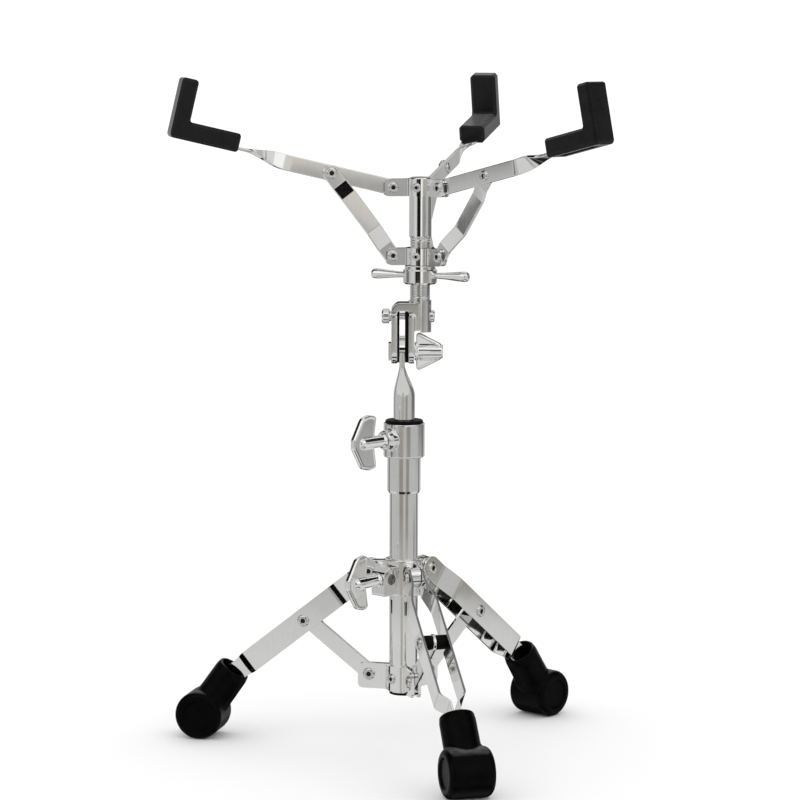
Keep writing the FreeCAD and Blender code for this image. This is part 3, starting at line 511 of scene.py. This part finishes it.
# ------------------------------------------------------------------ arms: upright strip, quarter twist, flat end turned up inside the grip
for k, az in ARM_AZ.items():
    X1, st = Vector((1, 0, 0)), []

    def twist(s, a, hw=7.0):
        a = math.radians(90.0 * a)
        c, si = math.cos(a), math.sin(a)
        return (Vector((s, 0, 2.6 * a / math.radians(90.0))), Vector((0, -si, c)), Vector((0, c, si)), hw, 1.5)

    for i in range(1, 13):
        a = math.radians(90.0 * i / 12)
        st.append(twist(-7.0 * math.cos(a), 0.0, max(0.5, 7.0 * math.sin(a))))
    st += [twist(s, 0.0) for s in (20.0, 40.0, 60.0, 80.0, 88.0)]
    for i in range(49):
        x = i / 48.0
        st.append(twist(91.0 + 45.0 * x, x * x * (3 - 2 * x)))
    st += [twist(s, 1.0) for s in (140.0, 160.0, 180.0, 192.0)]
    for i in range(1, 9):
        a = math.radians(90.0 * i / 8)
        st.append((Vector((193.0 + 2.5 * math.sin(a), 0, 2.6 + 2.5 - 2.5 * math.cos(a))), Vector((0, -1, 0)), Vector((-math.sin(a), 0, math.cos(a))), 7.0, 1.5))
    st.append((Vector((195.5, 0, 42.0)), Vector((0, -1, 0)), Vector((-1, 0, 0)), 7.0, 1.5))
    g = Build()
    v, f = sweep(st, 0.8, 4)
    g.add(v, f, 0, on_arm(az))
    dress("arm_%s_strip" % k, g.mesh("arm_%s" % k), ["arm_%s" % k], [M_STRIP])

# ------------------------------------------------------------------ stamped and cast pieces: the part's shapes with their edges broken
for n in NODES:
    if "_plate_" in n or n.endswith("_strut") or n.startswith("basket_strut"):
        rounded(n, 0.85, [M_STRIP], segs=4)
for n in ("lower_hub_shells", "top_hub_shells", "slider_shells"):
    rounded(n, 0.5, [M_STRIP])
for n in NODES:
    if n.startswith("grip_"):
        rounded(n, 0.5, [M_GRIP], segs=3)
    elif n.startswith("foot_"):
        rounded(n, 0.4, [M_FOOT], segs=2)
for n in ("cross_bolt", "cross_bolt_nut", "tilter_bolt"):
    rounded(n, 0.5, [M_TUBE])
melt("tilter_yoke_cast", node_mesh("tilter_yoke", Matrix()), Matrix(), ["tilter_yoke"], 0.45, 8, [M_CAST])
for n in ("leg_collar", "height_clamp"):
    melt(n + "_cast", node_mesh(n, Rz(226.7)), Rz(226.7), [n], 0.4, 3, [M_CAST])

# ------------------------------------------------------------------ wing screws and wing nut: cast wings with a rolled rim and a dished face
RIM = [(0.0, 1.3), (0.3, 2.0), (0.7, 2.45), (1.2, 2.65), (1.7, 2.6), (2.3, 2.3)]


def wing_screw(node, z, v, a0, w0, a1, stem, tip):
    half = [(0.16 * v, a1, 2.6), (0.92 * v, a1 - 11.0, 6.0), (v, a1 - 20.0, 5.0), (0.93 * v, w0, 3.0), (0.30 * v, w0 + 2.5, 2.0)]
    outline = round_poly(half + [(-p[0],) + p[1:] for p in reversed(half)])
    g = Build()
    g.add(*beaded_plate(outline, RIM), 0, Matrix())
    g.add(*lathe([(0, tip), (2.2, tip), (3.0, tip + 1.0), (3.0, a0), (stem + 1.2, a0), (stem + 1.2, a0 + 1.8), (stem, a0 + 3.2), (stem, a1 - 12.0), (stem * 0.8, a1 - 9.0),
                  (stem * 0.4, a1 - 7.4), (0, a1 - 7.0)], 64), Matrix())
    d = math.radians(226.7)
    o, x = Vector((math.cos(d), math.sin(d), 0)), Vector((0, 0, 1))
    y = o.cross(x)
    place = T(0, 0, z * MM) @ Matrix(((x.x, y.x, o.x, 0), (x.y, y.y, o.y, 0), (x.z, y.z, o.z, 0), (0, 0, 0, 1)))
    melt(node + "_cast", g.mesh(node), place, [node], 0.42, 5, [M_WING])


wing_screw("clamp_wing_screw", 280.4, 24.5, 26.8, 37.2, 66.0, 5.3, 11.6)
wing_screw("collar_wing_screw", 156.5, 24.5, 33.4, 47.2, 72.5, 5.3, 13.1)

g = Build()
for side in (1, -1):
    pts = [(5.0, 1.4), (18.7, 1.4, 2.6), (7.2, 23.4, 4.0), (5.0, 23.8)]
    g.add(*beaded_plate(round_poly([(side * p[0],) + p[1:] for p in pts]), [(0.0, 1.0), (0.35, 1.8), (0.9, 2.4), (1.4, 2.6), (1.9, 2.4), (2.3, 2.0)]), 0, Matrix())
g.add(*lathe([(3.6, 0.0), (8.2, 0.0), (8.2, 1.6), (6.6, 2.6), (6.3, 14.0), (6.2, 24.2), (5.6, 25.0), (4.8, 25.0), (4.5, 24.4), (4.5, 22.6), (3.6, 22.6)], 64, ring=True), Matrix())
ta = math.radians(-12.0)
o, x = Vector((1, 0, 0)), Vector((0, math.sin(ta), math.cos(ta)))
y = o.cross(x)
melt("tilter_wing_nut_cast", g.mesh("tilter_wing_nut"), T(9.0 * MM, 0, 357.7 * MM) @ Matrix(((x.x, y.x, o.x, 0), (x.y, y.y, o.y, 0), (x.z, y.z, o.z, 0), (0, 0, 0, 1))),
     ["tilter_wing_nut"], 0.42, 5, [M_WING])

# ------------------------------------------------------------------ basket post: a thread with broad flat crests
post = node_mesh("basket_post", Matrix())
for v in post.vertices:
    dx, r = v.co.x - POST_X * MM, math.hypot(v.co.x - POST_X * MM, v.co.y)
    if 0.4028 < v.co.z < 0.4592 and abs(r - 0.0089) < 5e-5:
        v.co.x, v.co.y = POST_X * MM + dx * 0.0083 / r, v.co.y * 0.0083 / r
N, PITCH, Z0, Z1 = 96, 2.5, 402.9, 459.0
steps = [(0.0, 0.0), (1.5, 0.0), (1.82, 0.42), (2.18, 0.42)]
rows = []
for k in range(-1, 24):
    rows += [(k * PITCH + s, dp) for s, dp in steps]
verts, faces = [], []
for i in range(N):
    for s, dp in rows:
        z = min(max(Z0 + s + PITCH * i / N, Z0), Z1)
        fade = min(max((z - Z0 - 1.2) / 1.6, 0.0), 1.0) * min(max((Z1 - 1.2 - z) / 1.6, 0.0), 1.0)
        r, a = 8.9 - dp * fade, 2 * math.pi * i / N
        verts.append((POST_X + r * math.cos(a), r * math.sin(a), z))
L = len(rows)
for i in range(N):
    for k in range(L - 1):
        j, up1 = (i + 1) % N, 0 if i < N - 1 else len(steps)
        if k + 1 + up1 < L:
            faces.append((i * L + k, j * L + k + up1, j * L + k + 1 + up1, i * L + k + 1))
bm = bmesh.new()
vs = [bm.verts.new(Vector(p) * MM) for p in verts]
for f in faces:
    bm.faces.new([vs[i] for i in f])
bmesh.ops.remove_doubles(bm, verts=bm.verts, dist=1e-6)
bmesh.ops.dissolve_degenerate(bm, edges=bm.edges, dist=1e-6)
bmesh.ops.holes_fill(bm, edges=[e for e in bm.edges if len(e.link_faces) == 1], sides=0)
bmesh.ops.recalc_face_normals(bm, faces=bm.faces)
bm.from_mesh(post)
bm.to_mesh(post)
bm.free()
post.materials.clear()
post.polygons.foreach_set("material_index", [0] * len(post.polygons))
dress("basket_post_threaded", post, ["basket_post"], [M_THREAD], angle=24.0)

# ------------------------------------------------------------------ studio
floor_mesh = bpy.data.meshes.new("floor")
S = 9.0
floor_mesh.from_pydata([(-S, -S, -0.0004), (S, -S, -0.0004), (S, S, -0.0004), (-S, S, -0.0004)], [], [(0, 1, 2, 3)])
floor = bpy.data.objects.new("floor", floor_mesh)
scene.collection.objects.link(floor)
m, t, b, co = material("paper_floor")
t.link(t.mix(t.noise(co, 3.0, 4.0), grey(0.94), grey(0.955)), b.inputs["Base Color"])
b.inputs["Roughness"].default_value = 0.9
floor_mesh.materials.append(m)
floor.visible_glossy = False

world = bpy.data.worlds.new("studio")
scene.world = world
world.use_nodes = True
w = Tree(world.node_tree)
gen = w.add("ShaderNodeTexCoord").outputs["Generated"]
sep = w.add("ShaderNodeSeparateXYZ")
w.link(gen, sep.inputs[0])
X, Y, Z = sep.outputs
az = w.math("MULTIPLY", w.math("ARCTAN2", X, w.math("MULTIPLY", Y, -1.0)), 180.0 / math.pi)
az_both = w.math("ABSOLUTE", az)
el = w.math("MULTIPLY", w.math("ARCSINE", Z), 180.0 / math.pi)

# plain walls and a few cards around the stand for the plating to mirror; azimuth 0 is behind the camera, positive to its right
BLACK, DARK, SHADE, MID, OLIVE_GREY, PALE, WALL, CEILING, WHITE = 0.04, 0.12, 0.42, 0.55, 0.64, 0.70, 0.79, 0.82, 0.95
NEUTRAL, WARM, OLIVE = (1.0, 1.0, 1.0), (1.0, 0.985, 0.95), (1.0, 0.98, 0.92)


def tone(v, tint=NEUTRAL):
    return tuple(lin(v * k) / 0.87 for k in tint) + (1.0,)


def level(under, e, v, soft):
    """Wall paint from elevation e upwards."""
    return w.mix(w.remap(el, e - soft, e + soft, 0.0, 1.0), under, tone(v))


def card(under, a0, a1, e0, e1, v, tint=NEUTRAL, fa=3.0, fe=0.4, both=False):
    """Card between two azimuths and two elevations, with soft edges; both hangs one on each side."""
    a = az_both if both else az
    across = w.math("MULTIPLY", w.remap(a, a0 - fa, a0 + fa, 0.0, 1.0), w.remap(a, a1 - fa, a1 + fa, 1.0, 0.0))
    upright = w.math("MULTIPLY", w.remap(el, e0 - fe, e0 + fe, 0.0, 1.0), w.remap(el, e1 - fe, e1 + fe, 1.0, 0.0))
    return w.mix(w.math("MULTIPLY", across, upright), under, tone(v, tint))


sky = tone(WALL)
sky = level(sky, -11.2, PALE, 0.3)
sky = level(sky, 6.0, WALL, 0.8)
sky = level(sky, 50.0, CEILING, 4.0)
# low shades to the left and right of the camera
sky = card(sky, -34, -6, -10.0, -7.7, MID, OLIVE, 4.0, 0.5)
sky = card(sky, -24, 1, -7.7, -5.4, OLIVE_GREY, OLIVE, 3.0, 0.3)
sky = card(sky, -22, -5, -20.0, -10.0, OLIVE_GREY, OLIVE, 4.0, 0.5)
sky = card(sky, 14, 36, -10.0, -5.4, MID, OLIVE, 4.0, 0.4)
sky = card(sky, 84, 100, -10.8, -9.4, MID, OLIVE, 3.0, 0.25)
# a black card beside the camera with a white one next to it, and their neighbours
sky = card(sky, 24, 60, -5.4, -2.7, MID, NEUTRAL, 6.0, 0.3)
sky = card(sky, -66, -38, -5.4, -2.2, WALL, NEUTRAL, 5.0, 0.5)
sky = card(sky, 18, 48, -2.7, 6.0, WALL, WARM, 3.0, 0.3)
sky = card(sky, 86, 142, -8.0, 2.5, SHADE, NEUTRAL, 8.0, 0.6)
sky = card(sky, -142, -74, -2.4, 2.5, SHADE, NEUTRAL, 8.0, 1.0)
sky = card(sky, -108, -82, -5.9, -4.4, SHADE, NEUTRAL, 4.0, 0.2)
sky = card(sky, -33.5, 1.0, -5.42, 5.8, BLACK, NEUTRAL, 2.5, 0.15)
sky = card(sky, 3.5, 17, -5.42, 5.8, WHITE, WARM, 1.5, 0.15)
# a white wall over the camera with a dark window in it
sky = card(sky, -62, 62, 12.5, 50.0, WHITE, NEUTRAL, 6.0, 1.2)
sky = card(sky, -15, 14, 12.5, 33.0, BLACK, NEUTRAL, 2.5, 1.2)
# the shaded room behind the stand with a white edge, dark stands at the sides
sky = card(sky, 84, 138, 12.5, 57.0, BLACK, NEUTRAL, 4.0, 1.5, both=True)
sky = card(sky, -138, -72, 30.0, 76.0, BLACK, NEUTRAL, 4.0, 1.5)
sky = card(sky, 102, 132, 70.0, 77.0, SHADE, NEUTRAL, 3.0, 1.0)
sky = card(sky, 118, 132, -20.0, -5.4, SHADE, NEUTRAL, 3.0, 0.5, both=True)
sky = card(sky, 150, 161, -8.0, 3.0, WALL, NEUTRAL, 2.0, 0.5, both=True)
sky = card(sky, 163, 190, -20.0, 3.0, MID, NEUTRAL, 2.0, 0.5, both=True)
sky = card(sky, 176, 190, -20.0, 3.0, DARK, NEUTRAL, 1.2, 0.5, both=True)
sky = card(sky, 148, 190, 2.5, 10.5, BLACK, NEUTRAL, 2.0, 0.8, both=True)
sky = card(sky, 148, 190, 22.0, 46.0, PALE, NEUTRAL, 2.0, 1.0, both=True)
# the floor's dark edge at the back and the shadow close to the stand
sky = card(sky, 132, 190, -48.0, -20.0, DARK, NEUTRAL, 8.0, 3.0, both=True)
sky = card(sky, -190, 190, -62.0, -48.0, DARK, NEUTRAL, 3.0, 2.0)
sky = card(sky, -112, -60, -66.0, -40.0, WALL, NEUTRAL, 4.0, 2.0)
lp = w.add("ShaderNodeLightPath")
col = w.mix(lp.outputs["Is Glossy Ray"], grey(1.12), sky)
bg = w.add("ShaderNodeBackground")
w.link(col, bg.inputs[0])
out = w.add("ShaderNodeOutputWorld")
w.link(bg.outputs[0], out.inputs[0])

scene.view_settings.view_transform = "Standard"
scene.view_settings.look = "None"
scene.view_settings.exposure = 0.0
scene.view_settings.gamma = 1.0

# ------------------------------------------------------------------ camera
cam_data = bpy.data.cameras.new("camera")
cam = bpy.data.objects.new("camera", cam_data)
scene.collection.objects.link(cam)
cam_data.sensor_fit = "HORIZONTAL"
cam_data.sensor_width = 36.0
cam_data.lens = 3070.98 / 800.0 * 36.0
cam_data.clip_end = 50.0
pitch, yaw, roll = math.radians(7.22), math.radians(-0.08), math.radians(0.21)
fwd = Vector((math.sin(yaw) * math.cos(pitch), math.cos(yaw) * math.cos(pitch), -math.sin(pitch)))
right = Vector((math.cos(yaw), -math.sin(yaw), 0.0))
up = right.cross(fwd)
r2 = right * math.cos(roll) + up * math.sin(roll)
u2 = up * math.cos(roll) - right * math.sin(roll)
cam.matrix_world = Matrix(((r2.x, u2.x, -fwd.x, 0.0), (r2.y, u2.y, -fwd.y, -2.70166), (r2.z, u2.z, -fwd.z, 0.65634), (0, 0, 0, 1)))
scene.camera = cam

bpy.context.view_layer.update()
